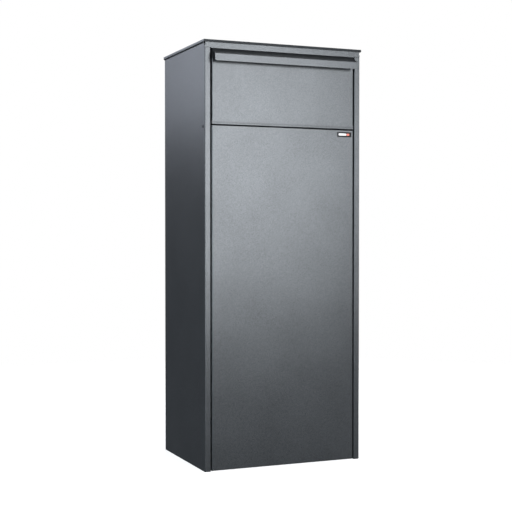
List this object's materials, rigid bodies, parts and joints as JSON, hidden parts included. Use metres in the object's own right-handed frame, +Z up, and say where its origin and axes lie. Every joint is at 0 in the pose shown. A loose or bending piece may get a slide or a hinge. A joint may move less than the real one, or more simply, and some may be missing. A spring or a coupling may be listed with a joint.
{
  "type": "parcel drop box",
  "caption": "Tall folded-steel parcel drop box with a tilting hopper flap and full-width handle above a side-hinged collection door, with a side cam lock.",
  "frame": {"origin": "centre of the whole object's footprint, on the floor it stands on", "axes": "+Z up; the door and flap face -Y; +X is towards the lock side, on the right of somebody facing the front"},
  "size_m": [0.457, 0.353, 1.12],
  "materials": {
    "powder_coat": "fine-texture satin powder coat, anthracite",
    "zinc_steel": "zinc plated",
    "dark_steel": "blackened rivet",
    "rubber": "matte",
    "nylon": "moulded nylon",
    "brass": "machined",
    "badge_black": "matte",
    "badge_white": "printed",
    "badge_red": "printed"
  },
  "bodies": {
    "cabinet": {"left_side_panel": "powder_coat", "right_side_panel": "powder_coat", "back_panel": "powder_coat", "base_pan": "powder_coat", "roof_lid": "powder_coat", "lid_nuts": "zinc_steel", "header_rail": "powder_coat", "cross_rail": "powder_coat", "door_stop_upper": "powder_coat", "door_stop_lower": "powder_coat", "door_seal_upper": "rubber", "door_seal_lower": "rubber", "door_buffers": "rubber", "bearing_block_left": "nylon", "bearing_block_right": "nylon", "bearing_block_rivets": "dark_steel", "hinge_bracket_upper": "powder_coat", "hinge_bracket_lower": "powder_coat", "door_hinge_pins": "zinc_steel", "anti_fishing_guard": "powder_coat", "guard_rivets": "dark_steel", "header_buffers": "rubber", "open_stop_left": "powder_coat", "open_stop_right": "powder_coat", "open_stop_pads": "rubber", "lock_housing": "zinc_steel", "lock_nut": "zinc_steel", "back_rivets": "dark_steel"},
    "door": {"door_skin": "powder_coat", "door_stiffener": "powder_coat", "door_hinge_sleeves": "powder_coat", "lock_keeper": "powder_coat", "badge_plate": "badge_black", "badge_strip": "badge_white", "badge_field": "badge_red"},
    "flap": {"flap_skin": "powder_coat", "flap_handle": "powder_coat", "handle_rivets": "dark_steel", "hopper_cheek_left": "powder_coat", "hopper_cheek_right": "powder_coat", "chute_plate": "powder_coat", "hopper_rivets": "dark_steel", "hinge_rod": "dark_steel"},
    "lock": {"lock_plug": "brass", "lock_cam": "zinc_steel", "cam_screw": "zinc_steel"}
  },
  "joints": [
    {"name": "door_swing", "type": "hinge", "parent": "cabinet", "child": "door", "pos_m": [-0.2, -0.1475, 0.45], "axis": [0, 0, -1], "range_deg": [0, 100]},
    {"name": "flap_tilt", "type": "hinge", "parent": "cabinet", "child": "flap", "pos_m": [0, -0.1485, 0.908], "axis": [1, 0, 0], "range_deg": [0, 50]},
    {"name": "lock_turn", "type": "hinge", "parent": "cabinet", "child": "lock", "pos_m": [0.2, -0.1055, 0.5], "axis": [-1, 0, 0], "range_deg": [0, 90]}
  ]
}
